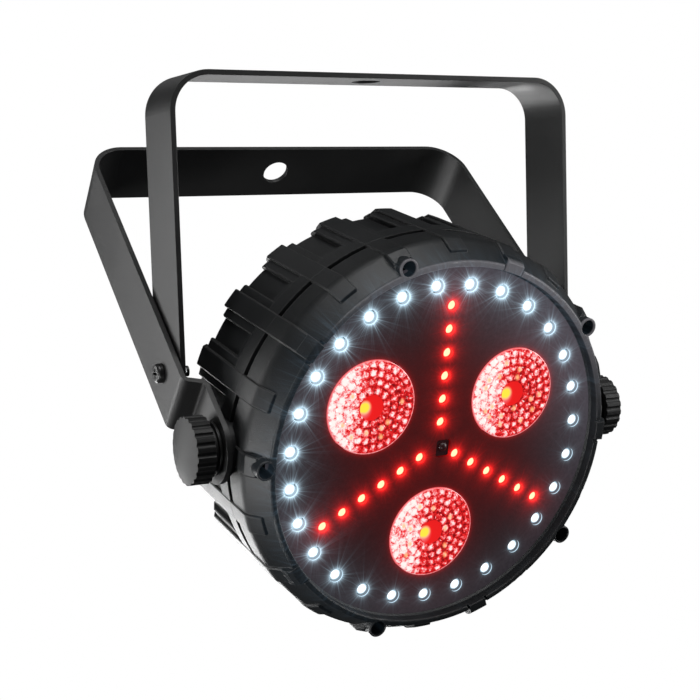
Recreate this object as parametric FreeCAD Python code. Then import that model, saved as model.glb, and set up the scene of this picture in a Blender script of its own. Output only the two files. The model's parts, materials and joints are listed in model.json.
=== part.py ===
import FreeCAD, Part
import math
import os
from FreeCAD import Placement, Rotation, Vector

# Par can light on a double yoke: a round lamp head that tilts in a rear yoke, which swings on a front yoke.
#
# Frame: +X right and +Z up for someone facing the lamp, +Y away from them. The origin is the centre of the
# clamp hole, on the top face of the front yoke's bar. Lamp pieces are drawn in the head's own frame, where
# +Z leaves the front panel at right angles, +Y is up the panel, and z = 0 is the plane of the LED windows.

# ---- driving dimensions, millimetres and degrees -------------------------------------------------

STRAP_WIDTH = 32.0          # both yokes are bent from one width of steel strip
STRAP_THICKNESS = 2.4
CLAMP_HOLE_R = 7.0          # takes a lamp clamp's bolt
YOKE_BEND_R = 17.5          # centre-line radius of the top corners

FRONT_HALF_WIDTH = 106.5    # outside of the legs
FRONT_HEIGHT = 134.5        # pivot bolt to the top face of the bar
REAR_HALF_WIDTH = 109.6
REAR_HEIGHT = 188.6         # tilt axis to the outer face of the bar
REAR_LEAN = 48.3            # rear yoke behind the upright front yoke, at rest
BOLT_OFFSET = 46.1          # tilt axis to pivot bolt, along the rear yoke
PLATE_HALF_WIDTH = 100.2    # outside of the leg ends, past the joggle
JOGGLE_LOW = 24.9           # joggle's two bend corners, from the tilt axis
JOGGLE_HIGH = 27.5
JOGGLE_BEND_R = 2.8

HEAD_TILT = 12.4            # front panel looks this far below the horizontal, at rest
TILT_AXIS_DEPTH = 24.4      # tilt axis behind the plane of the LED windows

BOLT_R = 2.5                # M5 pivot bolts
STUD_R = 4.0                # M8 tilt knobs
RUN_FIT = 0.06              # radial clearance of a turning fit
GAP = 0.3                   # clearance between neighbours

LIP_Z = 7.5                 # front of the lip
LIP_INNER_R = 84.4
LIP_OUTER_R = 87.3
LIP_FOOT_Z = 6.2            # where the shoulder leaves the lip
CREASE_R = 94.4             # where the shoulder meets the band
CREASE_Z = -6.0
BAND_R = 94.7               # back edge of the band
BAND_END_Z = -18.6
GROOVE_R = 93.2             # groove round the joint, between the ribs
SPLIT_Z = -21.6             # joint between the front and rear housings
RIB_R = 95.3                # tops of the ribs and treads
RIB_WIDTH = 5.8             # degrees
RIB_START_R = 91.1
RIB_START_Z = 2.3
HOOP_R = 95.0
HOOP_END_Z = -30.9
BORDER_R = 93.6             # stepped border round each pocket
BORDER_END_Z = -35.6
POCKET_R = 91.2
TREAD_END_Z = -66.4
BASE_WIDTH = 11.0           # degrees
WALL_INNER_R = 88.3
BACK_R = 80.5
BACK_Z = -85.0              # rear edge of the rear housing
COVER_Z = -90.0             # outer face of the rear cover
COVER_R = 79.4
FLANGE_Z = -87.6            # outer face of the cover's flange
TREADS = 20                 # ribs and tread blocks round the housing
LIP_BLOCKS = 5              # ribs that cross the lip
POSTS = 5                   # screw posts
POST_START = 36.0           # angle of the first post
POST_CENTRE_R = 89.0
POST_R = 4.45
POST_BORE_R = 3.6
POST_BACK = -16.4
SCREW_SEAT = -9.0
SCREW_TIP = -44.0
SHORT_SCREW_TIP = -16.5
SCREW_BOSS_R = 3.6
PIVOT_BOSS_R = 12.5
BOSS_OUTER = PLATE_HALF_WIDTH - STRAP_THICKNESS - 1.6

KNOB_R = 15.1
KNOB_BASE = PLATE_HALF_WIDTH + 1.7
KNOB_SKIRT = PLATE_HALF_WIDTH + 4.4   # the skirt stops short of the washer; a hub reaches it
KNOB_HUB_R = 10.5
KNOB_RIM = PLATE_HALF_WIDTH + 12.8
KNOB_TOP = KNOB_RIM + 1.9
KNOB_FLUTES = 22
FLUTE_R = 1.5
STUD_TIP = 80.0

PANEL_Z = 1.4               # front face of the panel
PANEL_R = 85.8
PANEL_EDGE_R = 83.7         # what the bezel leaves in view
PANEL_THICKNESS = 2.5
WHITE_LEDS = 27
WHITE_RING_R = 75.0
WHITE_HOLE_R = 3.3
ROW_LEDS = 6                # colour LEDs in each of three rows
ROW_ANGLES = (90.0, 210.0, 330.0)
ROW_START_R = 10.8
ROW_PITCH = 10.93
ROW_HOLE_R = 2.4
LENS_NAMES = ("right", "left", "lower")
LENS_ANGLES = (30.0, 150.0, 270.0)
LENS_CENTRE_R = 42.9
LENS_R = 21.65
LENS_FRONT_Z = 2.0
LENS_BACK_Z = -19.0
IR_CENTRE = (2.3, -2.0)

LED_BOARD_TOP = -3.0
BOARD_THICKNESS = 1.6
SINK_TOP = -23.6
SINK_PLATE = 4.0
FIN_END = -50.0
POWER_BOARD_TOP = -54.0
CONTROL_BOARD_TOP = -78.4

BUTTON_R = 3.8
BUTTON_Y = 22.0
BUTTON_XS = (-27.0, -9.0, 9.0, 27.0)
BUTTON_NAMES = ("menu", "down", "up", "enter")
DISPLAY_CENTRE = (0.0, 42.0)
DMX_XS = (-36.0, 36.0)
DMX_Y = -2.0
POWER_XS = (-20.0, 20.0)
POWER_Y = -38.0
COVER_WALL = 3.0
VENT_YS = (8.0, 3.0, -2.0, -7.0, -12.0)
SAFETY_Y = 57.0
SAFETY_HALF_GAP = 8.0
SAFETY_WIRE_R = 2.0
DMX_BODY_R = 11.8
CAPACITORS = ((8, 38, 6.3, 16), (26, 40, 5.0, 14), (24, 24, 4.0, 12))   # x, y, radius, height
COLUMN_XS = (-44.0, 44.0)
POWER_COLUMN_YS = (12.0, 48.0)
CONTROL_COLUMN_YS = (17.0, 40.0)
COVER_SCREWS = 6
COVER_SCREW_R = 76.4

X_AXIS = Vector(1, 0, 0)
Z_AXIS = Vector(0, 0, 1)
ORIGIN = Vector(0, 0, 0)

# ---- where the three assemblies stand ------------------------------------------------------------

LEAN = math.radians(REAR_LEAN)
BOLT_POINT = Vector(0, 0, -FRONT_HEIGHT)
TILT_POINT = BOLT_POINT - Vector(0, math.sin(LEAN), math.cos(LEAN)) * BOLT_OFFSET
REAR_PLACE = Placement(TILT_POINT, Rotation(X_AXIS, -REAR_LEAN))
HEAD_TURN = Rotation(X_AXIS, 90.0 + HEAD_TILT)
HEAD_PLACE = Placement(TILT_POINT - HEAD_TURN.multVec(Vector(0, 0, -TILT_AXIS_DEPTH)), HEAD_TURN)


# ---- helpers -------------------------------------------------------------------------------------

def save(name, shape, place=Placement()):
    """Write one node as a STEP file, moved into the row's frame."""
    placed = shape.copy()
    placed.Placement = place.multiply(placed.Placement)
    if not placed.isValid():
        raise ValueError(name + " is not a valid shape")
    placed.exportStep("parts/" + name + ".step")


def box(x0, x1, y0, y1, z0, z1):
    return Part.makeBox(x1 - x0, y1 - y0, z1 - z0, Vector(x0, y0, z0))


def centred_box(x, y, width, height, z0, z1):
    return box(x - width / 2, x + width / 2, y - height / 2, y + height / 2, z0, z1)


def rounded_box(x, y, width, height, z0, z1, radius):
    """A box with its four edges along Z rounded."""
    block = centred_box(x, y, width, height, z0, z1)
    upright = [e for e in block.Edges if abs(e.tangentAt(e.FirstParameter).z) > 0.99]
    return block.makeFillet(radius, upright)


def rod(radius, x, y, z0, z1):
    """A cylinder along Z."""
    return Part.makeCylinder(radius, z1 - z0, Vector(x, y, z0), Z_AXIS)


def cross_rod(radius, side, x0, x1, y=0.0, z=0.0):
    """A cylinder along X, on the left (side -1) or the right (side +1), from |x| = x0 to x1."""
    return Part.makeCylinder(radius, x1 - x0, Vector(side * x0, y, z), Vector(side, 0, 0))


def polar(radius, degrees):
    angle = math.radians(degrees)
    return radius * math.cos(angle), radius * math.sin(angle)


def rounded_wire(outline):
    """Closed wire in XZ through (r, z) corners; a third number rounds that corner to a radius."""
    corners = [Vector(corner[0], 0, corner[1]) for corner in outline]
    count = len(corners)
    arcs, stops = [], []
    for index, corner in enumerate(corners):
        if len(outline[index]) == 2:
            stops.append((corner, corner))
            continue
        radius = outline[index][2]
        back = (corners[index - 1] - corner).normalize()
        ahead = (corners[(index + 1) % count] - corner).normalize()
        half = back.getAngle(ahead) / 2
        reach = radius / math.tan(half)
        inward = (back + ahead).normalize()
        middle = corner + inward * (radius / math.sin(half) - radius)
        stops.append((corner + back * reach, corner + ahead * reach))
        arcs.append(Part.Arc(stops[-1][0], middle, stops[-1][1]).toShape())
    lines = [Part.makeLine(stops[index - 1][1], stops[index][0]) for index in range(count)]
    return Part.Wire(Part.__sortEdges__(lines + arcs))


def turned(outline, centre=0.0, width=360.0):
    """Revolve an (r, z) outline about Z, all the way round or over a sector centred on an angle."""
    solid = Part.Face(rounded_wire(outline)).revolve(ORIGIN, Z_AXIS, width)
    if width < 360.0:
        solid.rotate(ORIGIN, Z_AXIS, centre - width / 2)
    return solid


def soften_long_edges(sector, min_r, chamfer):
    """Chamfer a sector's edges that run front to back along its outer face."""
    edges = []
    for edge in sector.Edges:
        middle = edge.CenterOfMass
        runs_back = abs(edge.tangentAt(edge.FirstParameter).z) > 0.7
        if runs_back and math.hypot(middle.x, middle.y) > min_r:
            edges.append(edge)
    return sector.makeChamfer(chamfer, edges)


def round_copies(shape, count, start=0.0):
    """Copies of a shape drawn at angle 0, spaced evenly about Z from the start angle."""
    copies = []
    for index in range(count):
        copy = shape.copy()
        copy.rotate(ORIGIN, Z_AXIS, start + index * 360.0 / count)
        copies.append(copy)
    return copies


def both_sides(make):
    """One compound of the left and the right piece."""
    return Part.makeCompound([make(-1), make(1)])


def strip_face(points, bend_radii, thickness):
    """The side view of bent strip in XZ: a centre line with rounded corners, thickened both ways."""
    count = len(points)
    half = thickness / 2
    rows = {1: [], -1: []}
    for side in rows:
        start = points[0] + square_to(points[0], points[1]) * (side * half)
        for index in range(1, count - 1):
            before, corner, after = points[index - 1], points[index], points[index + 1]
            arrive = (corner - before).normalize()
            leave = (after - corner).normalize()
            turn = arrive.getAngle(leave)
            reach = bend_radii[index - 1] * math.tan(turn / 2)
            first = corner - arrive * reach + square_to(before, corner) * (side * half)
            last = corner + leave * reach + square_to(corner, after) * (side * half)
            inward = (leave - arrive).normalize()
            centre = corner + inward * (bend_radii[index - 1] / math.cos(turn / 2))
            radius = (first - centre).Length
            middle = centre - inward * radius
            rows[side].append(Part.makeLine(start, first))
            rows[side].append(Part.Arc(first, middle, last).toShape())
            start = last
        end = points[-1] + square_to(points[-2], points[-1]) * (side * half)
        rows[side].append(Part.makeLine(start, end))
    caps = [Part.makeLine(rows[1][0].Vertexes[0].Point, rows[-1][0].Vertexes[0].Point),
            Part.makeLine(rows[1][-1].Vertexes[-1].Point, rows[-1][-1].Vertexes[-1].Point)]
    return Part.Face(Part.Wire(Part.__sortEdges__(rows[1] + rows[-1] + caps)))


def square_to(start, end):
    """Unit vector in XZ at right angles to a line, on its left."""
    along = (end - start).normalize()
    return Vector(-along.z, 0, along.x)


def yoke_strap(points, bend_radii, end_r, pivot_z, reach):
    """Strip extruded to width, with both leg ends rounded about the pivot."""
    strap = strip_face(points, bend_radii, STRAP_THICKNESS).extrude(Vector(0, STRAP_WIDTH, 0))
    strap.translate(Vector(0, -STRAP_WIDTH / 2, 0))
    side_view = box(-reach, reach, -STRAP_WIDTH / 2, STRAP_WIDTH / 2, pivot_z, pivot_z + 2 * reach)
    ends = Part.makeCylinder(end_r, 2 * reach, Vector(-reach, 0, pivot_z), X_AXIS)
    return strap.common(side_view.fuse(ends).removeSplitter())


# ---- front yoke and its pivots -------------------------------------------------------------------

def front_yoke():
    half = STRAP_THICKNESS / 2
    leg_x = FRONT_HALF_WIDTH - half
    foot_z = -FRONT_HEIGHT - STRAP_WIDTH
    corners = ((-leg_x, foot_z), (-leg_x, -half), (leg_x, -half), (leg_x, foot_z))
    points = [Vector(x, 0, z) for x, z in corners]
    strap = yoke_strap(points, [YOKE_BEND_R] * 2, STRAP_WIDTH / 2, -FRONT_HEIGHT, FRONT_HALF_WIDTH + 1)
    hole_start = Vector(-FRONT_HALF_WIDTH, 0, -FRONT_HEIGHT)
    bolt_holes = Part.makeCylinder(BOLT_R + GAP, 2 * FRONT_HALF_WIDTH, hole_start, X_AXIS)
    return strap.cut(bolt_holes).cut(rod(CLAMP_HOLE_R, 0, 0, -STRAP_THICKNESS, 0))


def pivot_bolt(side):
    """Pan head screw with a cross recess; its shank carries both yokes."""
    head_r, head_height, tip = 4.5, 3.0, 97.0
    seat = REAR_HALF_WIDTH + GAP
    head = cross_rod(head_r, side, seat, seat + head_height)
    rim = [e for e in head.Edges if abs(abs(e.CenterOfMass.x) - seat - head_height) < 0.01]
    head = head.makeFillet(1.6, rim)
    recess_from, recess_to = sorted((side * (seat + 1.2), side * (seat + head_height)))
    for long_y, long_z in ((2.4, 0.5), (0.5, 2.4)):
        head = head.cut(box(recess_from, recess_to, -long_y, long_y, -long_z, long_z))
    return head.fuse(cross_rod(BOLT_R, side, tip, seat)).removeSplitter()


def pivot_nut(side):
    """Hexagonal lock nut inside the front yoke's leg."""
    across_corners, thickness = 9.2, 5.0
    face = FRONT_HALF_WIDTH - STRAP_THICKNESS
    corners = [Vector(side * face, *polar(across_corners / 2, 60 * k)) for k in range(7)]
    nut = Part.Face(Part.makePolygon(corners)).extrude(Vector(-side * thickness, 0, 0))
    return nut.cut(cross_rod(BOLT_R + RUN_FIT, side, face - thickness, face))


def pivot_washer(side):
    """Nylon washer that keeps the two legs from rubbing."""
    disc = cross_rod(8.0, side, FRONT_HALF_WIDTH, FRONT_HALF_WIDTH + 0.4)
    return disc.cut(cross_rod(BOLT_R + RUN_FIT, side, FRONT_HALF_WIDTH, FRONT_HALF_WIDTH + 0.4))


# ---- rear yoke -----------------------------------------------------------------------------------

def rear_yoke():
    """Wide yoke whose leg ends step inward to the lamp; drawn with the tilt axis on X and legs up Z."""
    half = STRAP_THICKNESS / 2
    leg_x = REAR_HALF_WIDTH - half
    plate_x = PLATE_HALF_WIDTH - half
    bar_z = REAR_HEIGHT - half
    leg = [(plate_x, -STRAP_WIDTH), (plate_x, JOGGLE_LOW), (leg_x, JOGGLE_HIGH), (leg_x, bar_z)]
    points = [Vector(-x, 0, z) for x, z in leg] + [Vector(x, 0, z) for x, z in reversed(leg)]
    bends = [JOGGLE_BEND_R, JOGGLE_BEND_R, YOKE_BEND_R]
    strap = yoke_strap(points, bends + bends[::-1], STRAP_WIDTH / 2, 0.0, REAR_HEIGHT)
    for radius, z in ((STUD_R + GAP, 0.0), (BOLT_R + RUN_FIT, BOLT_OFFSET)):
        strap = strap.cut(Part.makeCylinder(radius, 2 * REAR_HEIGHT, Vector(-REAR_HEIGHT, 0, z), X_AXIS))
    return strap.cut(rod(CLAMP_HOLE_R, 0, 0, REAR_HEIGHT - STRAP_THICKNESS, REAR_HEIGHT))


# ---- tilt knobs, drawn with the tilt axis on X ---------------------------------------------------


def knob_grip(side):
    """Moulded grip with a domed cap and a fluted skirt."""
    dome_r = (KNOB_R ** 2 + (KNOB_TOP - KNOB_RIM) ** 2) / (2 * (KNOB_TOP - KNOB_RIM))
    grip = cross_rod(KNOB_R, side, KNOB_SKIRT, KNOB_TOP)
    grip = grip.common(Part.makeSphere(dome_r, Vector(side * (KNOB_TOP - dome_r), 0, 0)))
    for index in range(KNOB_FLUTES):
        y, z = polar(KNOB_R + FLUTE_R - 0.7, index * 360.0 / KNOB_FLUTES)
        grip = grip.cut(cross_rod(FLUTE_R, side, KNOB_SKIRT, KNOB_TOP, y, z))
    grip = grip.cut(cross_rod(KNOB_R - 2.4, side, KNOB_SKIRT, KNOB_SKIRT + 3.0))
    grip = grip.fuse(cross_rod(KNOB_HUB_R, side, KNOB_BASE, KNOB_SKIRT + 4.0))
    return grip.cut(cross_rod(STUD_R + RUN_FIT, side, KNOB_BASE, KNOB_RIM - 3.0))


def knob_stud(side):
    stud = cross_rod(STUD_R, side, STUD_TIP, KNOB_RIM - 3.0)
    tip = [e for e in stud.Edges if abs(abs(e.CenterOfMass.x) - STUD_TIP) < 0.01]
    return stud.makeChamfer(0.8, tip)


def knob_washer(side):
    inner, outer = PLATE_HALF_WIDTH + GAP, KNOB_BASE - GAP
    return cross_rod(12.0, side, inner, outer).cut(cross_rod(STUD_R + GAP, side, inner, outer))


# ---- housings, in the head's frame ---------------------------------------------------------------


def post_angles():
    return [POST_START + index * 360.0 / POSTS for index in range(POSTS)]


def is_pivot_post(degrees):
    """True for the post in front of a pivot boss, which takes a short screw."""
    return abs(degrees - 180.0) < 1.0


def pivot_holes():
    return Part.makeCylinder(PIVOT_BOSS_R + GAP, 220, Vector(-110, 0, -TILT_AXIS_DEPTH), X_AXIS)


def front_housing():
    """Bezel: a beaded lip round the panel, a sloping shoulder, a band, ribs, and five open screw posts."""
    ledge_z = PANEL_Z - PANEL_THICKNESS - 0.8
    joint_z = SPLIT_Z + 0.1
    shell = turned([(LIP_INNER_R, LIP_Z, 0.6), (LIP_OUTER_R, LIP_Z, 1.1), (LIP_OUTER_R, LIP_FOOT_Z),
                    (CREASE_R, CREASE_Z, 9.0), (BAND_R, BAND_END_Z), (GROOVE_R, BAND_END_Z - 0.4),
                    (GROOVE_R, joint_z), (91.3, joint_z), (91.3, -8.0), (87.6, ledge_z),
                    (PANEL_R + GAP, ledge_z), (PANEL_R + GAP, PANEL_Z), (PANEL_EDGE_R, PANEL_Z),
                    (LIP_INNER_R, PANEL_Z + 1.1)])
    rib = turned([(88.5, RIB_START_Z), (RIB_START_R, RIB_START_Z, 0.6), (RIB_R, CREASE_Z + 0.4, 7.0),
                  (RIB_R, joint_z), (92.0, joint_z), (92.0, -7.5), (88.5, 0.0)], 0.0, RIB_WIDTH)
    block = turned([(LIP_INNER_R, 5.0), (LIP_INNER_R, LIP_Z + 0.4, 0.5), (88.6, LIP_Z + 0.4, 0.6),
                    (90.5, 5.6), (RIB_START_R + 0.5, RIB_START_Z), (88.0, RIB_START_Z - 2.0)], 0.0, RIB_WIDTH)
    fairing = turned([(88.0, CREASE_Z), (RIB_R - 0.05, CREASE_Z), (RIB_R - 0.05, -1.8, 1.2), (92.3, 3.2, 0.6),
                      (88.0, 3.2)], 0.0, RIB_WIDTH)
    ribs = round_copies(soften_long_edges(rib, 91.5, 0.5), TREADS)
    ribs += round_copies(soften_long_edges(fairing, 91.5, 0.5), POSTS, POST_START)
    shell = shell.multiFuse(ribs + round_copies(block, LIP_BLOCKS))
    slot = turned([(LIP_INNER_R - 0.6, LIP_FOOT_Z), (LIP_OUTER_R + 0.2, LIP_FOOT_Z), (LIP_OUTER_R + 0.2, 9.0),
                   (LIP_INNER_R - 0.6, 9.0)], 0.0, 0.9)
    for offset in (-RIB_WIDTH / 2 - 0.45, RIB_WIDTH / 2 + 0.45):
        shell = shell.cut(round_copies(slot, LIP_BLOCKS, offset))
    posts, bores = [], []
    for degrees in post_angles():
        x, y = polar(POST_CENTRE_R, degrees)
        post = rod(POST_R, x, y, POST_BACK, LIP_Z)
        posts.append(post.makeChamfer(0.4, [e for e in post.Edges if e.CenterOfMass.z > LIP_Z - 0.01]))
        bores.append(rod(POST_BORE_R, x, y, SCREW_SEAT, LIP_Z))
        bores.append(rod(1.9, x, y, SPLIT_Z, SCREW_SEAT))
    panel_seat = rod(PANEL_R + GAP, 0, 0, SPLIT_Z, PANEL_Z)
    shell = shell.multiFuse(posts).cut(bores + [pivot_holes(), panel_seat])
    return shell.removeSplitter()


def rear_housing():
    """Rear shell: a hoop behind the joint, and stepped tread blocks with pockets between them."""
    joint_z = SPLIT_Z - 0.1
    shell = turned([(HOOP_R, joint_z), (HOOP_R, HOOP_END_Z), (BORDER_R, HOOP_END_Z - 0.7),
                    (BORDER_R, BORDER_END_Z), (POCKET_R, BORDER_END_Z - 2.4),
                    (POCKET_R, TREAD_END_Z, 2.5), (84.5, -76.0, 2.0), (BACK_R, BACK_Z, 1.5), (74.0, BACK_Z),
                    (74.0, -82.5), (78.0, -82.5), (81.8, -75.0), (WALL_INNER_R, -65.5),
                    (WALL_INNER_R, POST_BACK), (91.0, POST_BACK), (91.0, joint_z)])
    base = turned([(90.0, -33.0), (BORDER_R + 0.3, -33.0), (BORDER_R + 0.3, TREAD_END_Z + 1.9),
                   (91.5, TREAD_END_Z - 3.1), (90.0, TREAD_END_Z - 3.1)], 0.0, BASE_WIDTH)
    top = turned([(91.0, joint_z), (RIB_R, joint_z), (RIB_R + 0.1, TREAD_END_Z), (92.0, TREAD_END_Z - 5.2),
                  (90.0, TREAD_END_Z - 5.6)], 0.0, RIB_WIDTH)
    treads = round_copies(soften_long_edges(base, 91.5, 0.5), TREADS)
    treads += round_copies(soften_long_edges(top, 92.5, 0.5), TREADS)
    screw_bosses, cuts = [], [pivot_holes()]
    for degrees in post_angles():
        if not is_pivot_post(degrees):
            x, y = polar(POST_CENTRE_R, degrees)
            screw_bosses.append(rod(SCREW_BOSS_R, x, y, SCREW_TIP - 2.0, joint_z))
            cuts.append(rod(1.8, x, y, SCREW_TIP - 1.0, POST_BACK))
    cuts += [rod(1.5, x, y, BACK_Z, -82.0) for x, y in cover_screw_places()]
    return shell.multiFuse(treads + screw_bosses).cut(cuts).removeSplitter()


def housing_screws():
    """Deep screws in the posts; the one in front of a pivot boss is short."""
    screws = []
    for degrees in post_angles():
        x, y = polar(POST_CENTRE_R, degrees)
        end = SHORT_SCREW_TIP if is_pivot_post(degrees) else SCREW_TIP
        head = rod(3.1, x, y, SCREW_SEAT, SCREW_SEAT + 2.4)
        for width, height in ((3.6, 0.9), (0.9, 3.6)):
            head = head.cut(centred_box(x, y, width, height, SCREW_SEAT + 1.0, SCREW_SEAT + 2.4))
        screws.append(head.fuse(rod(1.7, x, y, end, SCREW_SEAT)).removeSplitter())
    return Part.makeCompound(screws)


def pivot_boss(side):
    """Block inside the shells that takes a tilt knob; its flange bears on the inside of the wall."""
    boss = cross_rod(PIVOT_BOSS_R, side, 74.0, BOSS_OUTER, 0.0, -TILT_AXIS_DEPTH)
    boss = boss.fuse(cross_rod(14.5, side, 74.0, 85.0, 0.0, -TILT_AXIS_DEPTH)).removeSplitter()
    boss = boss.cut(cross_rod(6.1, side, 74.0, BOSS_OUTER, 0.0, -TILT_AXIS_DEPTH))
    screw_hole = rod(1.8, side * POST_CENTRE_R, 0.0, SHORT_SCREW_TIP - 1.0, SCREW_SEAT)
    return boss.cut(screw_hole) if side < 0 else boss


def knob_insert(side):
    sleeve = cross_rod(6.0, side, 76.0, BOSS_OUTER, 0.0, -TILT_AXIS_DEPTH)
    return sleeve.cut(cross_rod(STUD_R + RUN_FIT, side, 76.0, BOSS_OUTER, 0.0, -TILT_AXIS_DEPTH))


def friction_washer(side):
    """Rubber washer on the boss that grips the yoke's leg end."""
    end = BOSS_OUTER + 1.3
    disc = cross_rod(11.5, side, BOSS_OUTER, end, 0.0, -TILT_AXIS_DEPTH)
    return disc.cut(cross_rod(STUD_R + GAP, side, BOSS_OUTER, end, 0.0, -TILT_AXIS_DEPTH))


# ---- front panel and light sources ---------------------------------------------------------------

def white_places():
    step = 360.0 / WHITE_LEDS
    return [polar(WHITE_RING_R, 90.0 + step * (index + 0.5)) for index in range(WHITE_LEDS)]


def row_places():
    return [polar(ROW_START_R + ROW_PITCH * index, degrees)
            for degrees in ROW_ANGLES for index in range(ROW_LEDS)]


def lens_places():
    return [polar(LENS_CENTRE_R, degrees) for degrees in LENS_ANGLES]


def front_panel():
    back = PANEL_Z - PANEL_THICKNESS
    panel = rod(PANEL_R, 0, 0, back, PANEL_Z)
    holes = [rod(WHITE_HOLE_R, x, y, back, PANEL_Z) for x, y in white_places()]
    holes += [rod(ROW_HOLE_R, x, y, back, PANEL_Z) for x, y in row_places()]
    holes += [rod(LENS_R + 0.4, x, y, back, PANEL_Z) for x, y in lens_places()]
    holes.append(rounded_box(*IR_CENTRE, 7.4, 8.4, back, PANEL_Z, 1.2))
    return panel.cut(holes)


def surface_led(x, y, degrees, body, window_r):
    """Square package with a round domed window."""
    base_top = LED_BOARD_TOP + 1.6
    package = centred_box(0, 0, body, body, LED_BOARD_TOP, base_top)
    window = rod(window_r, 0, 0, base_top, 0)
    window = window.makeFillet(0.5, [e for e in window.Edges if e.CenterOfMass.z > -0.01])
    led = package.fuse(window)
    led.rotate(ORIGIN, Z_AXIS, degrees)
    led.translate(Vector(x, y, 0))
    return led


def white_leds():
    return Part.makeCompound([surface_led(x, y, math.degrees(math.atan2(y, x)), 6.0, 2.85)
                              for x, y in white_places()])


def row_leds():
    return Part.makeCompound([surface_led(x, y, math.degrees(math.atan2(y, x)), 5.0, 2.1)
                              for x, y in row_places()])


def led_board():
    board = rod(81.5, 0, 0, LED_BOARD_TOP - BOARD_THICKNESS, LED_BOARD_TOP)
    cuts = [rod(24.7, x, y, LED_BOARD_TOP - BOARD_THICKNESS, LED_BOARD_TOP) for x, y in lens_places()]
    return board.cut(cuts)


def ir_receiver():
    """Remote-control receiver: a small block with a domed eye."""
    x, y = IR_CENTRE
    body = rounded_box(x, y, 6.4, 7.4, LED_BOARD_TOP, PANEL_Z - 0.6, 0.8)
    eye = Part.makeSphere(2.4, Vector(x, y + 0.6, PANEL_Z - 1.4))
    return body.fuse(eye).removeSplitter()


def lens(x, y):
    """Collimating lens: a shallow domed front on a cone, hollow where the emitter sits."""
    solid = turned([(0, LENS_FRONT_Z + 0.6), (LENS_R * 0.5, LENS_FRONT_Z + 0.5), (LENS_R, LENS_FRONT_Z),
                    (LENS_R, -4.0), (7.0, LENS_BACK_Z), (4.6, LENS_BACK_Z), (4.0, -14.0), (0, -13.0)])
    solid.translate(Vector(x, y, 0))
    return solid


def lens_holder(x, y):
    """Black cup that seats the lens over its emitter."""
    solid = turned([(22.0, -2.8), (24.3, -2.8), (24.3, -7.0), (10.6, -21.7), (7.5, -21.7), (7.5, -19.1),
                    (22.0, -4.3)])
    solid.translate(Vector(x, y, 0))
    return solid


def emitter(x, y):
    """Four-colour LED on a round metal-core board."""
    star = rod(10.0, 0, 0, SINK_TOP, SINK_TOP + BOARD_THICKNESS)
    for index in range(3):
        star = star.cut(rod(1.5, *polar(10.0, 120.0 * index), SINK_TOP, SINK_TOP + BOARD_THICKNESS))
    chip = centred_box(0, 0, 6.0, 6.0, SINK_TOP + BOARD_THICKNESS, SINK_TOP + 2.6)
    dome = Part.makeSphere(2.5, Vector(0, 0, SINK_TOP + 2.6), Z_AXIS, 0, 90, 360)
    solid = star.fuse([chip, dome])
    solid.translate(Vector(x, y, 0))
    return solid


# ---- inside the housing --------------------------------------------------------------------------

def heat_sink():
    """Round aluminium plate with straight fins."""
    plate = rod(68.0, 0, 0, SINK_TOP - SINK_PLATE, SINK_TOP)
    fins = [box(x - 0.8, x + 0.8, -60, 60, FIN_END, SINK_TOP - SINK_PLATE) for x in range(-36, 37, 8)]
    fins = [fin.common(rod(62.0, 0, 0, FIN_END, SINK_TOP)) for fin in fins]
    return plate.multiFuse(fins).removeSplitter()


def columns(radius, ys, z0, z1):
    return Part.makeCompound([rod(radius, x, y, z0, z1) for x in COLUMN_XS for y in ys])


def board_columns():
    """Short columns that hold the LED board on the heat sink."""
    places = [polar(62.0, degrees) for degrees in ROW_ANGLES]
    return Part.makeCompound([rod(3.0, x, y, SINK_TOP, LED_BOARD_TOP - BOARD_THICKNESS) for x, y in places])


def power_board():
    return box(-50, 50, 5, 55, POWER_BOARD_TOP - BOARD_THICKNESS, POWER_BOARD_TOP)


def transformer():
    """Ferrite core in two halves of an E, with its winding."""
    top = POWER_BOARD_TOP - BOARD_THICKNESS
    core = centred_box(-24, 30, 26, 8, top - 18, top - 2)
    winding = centred_box(-24, 30, 16, 22, top - 16, top - 4)
    bobbin = centred_box(-24, 30, 20, 24, top - 2, top)
    return core.fuse([winding, bobbin]).removeSplitter()


def capacitors():
    top = POWER_BOARD_TOP - BOARD_THICKNESS
    return Part.makeCompound([rod(radius, x, y, top - height, top) for x, y, radius, height in CAPACITORS])


def fuse_clip():
    """Glass fuse in a pair of clips on the power board."""
    top = POWER_BOARD_TOP - BOARD_THICKNESS
    tube = Part.makeCylinder(2.5, 20, Vector(-6, 14, top - 4.5), X_AXIS)
    clips = [box(x, x + 4, 11, 17, top - 5.5, top) for x in (-5, 9)]
    return tube.fuse(clips).removeSplitter()


def control_board():
    return box(-48, 48, 13, 50, CONTROL_BOARD_TOP - BOARD_THICKNESS, CONTROL_BOARD_TOP)


def control_chips():
    """Processor and line driver on the inner side of the control board."""
    return Part.makeCompound([centred_box(x, y, w, h, CONTROL_BOARD_TOP, CONTROL_BOARD_TOP + 1.6)
                              for x, y, w, h in ((0, 34, 12, 12), (26, 30, 8, 5), (-26, 36, 8, 5))])


def display():
    """Four-digit display behind its window."""
    x, y = DISPLAY_CENTRE
    return centred_box(x, y, 34, 14, COVER_Z + COVER_WALL + GAP, CONTROL_BOARD_TOP - BOARD_THICKNESS)


def button_switches():
    """Tactile switches under the four buttons."""
    top = CONTROL_BOARD_TOP - BOARD_THICKNESS
    bodies = [centred_box(x, BUTTON_Y, 6, 6, top - 2.8, top) for x in BUTTON_XS]
    return Part.makeCompound([body.fuse(rod(1.7, x, BUTTON_Y, top - 3.3, top - 2.8))
                              for body, x in zip(bodies, BUTTON_XS)])


# ---- rear cover and what it carries --------------------------------------------------------------

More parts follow.
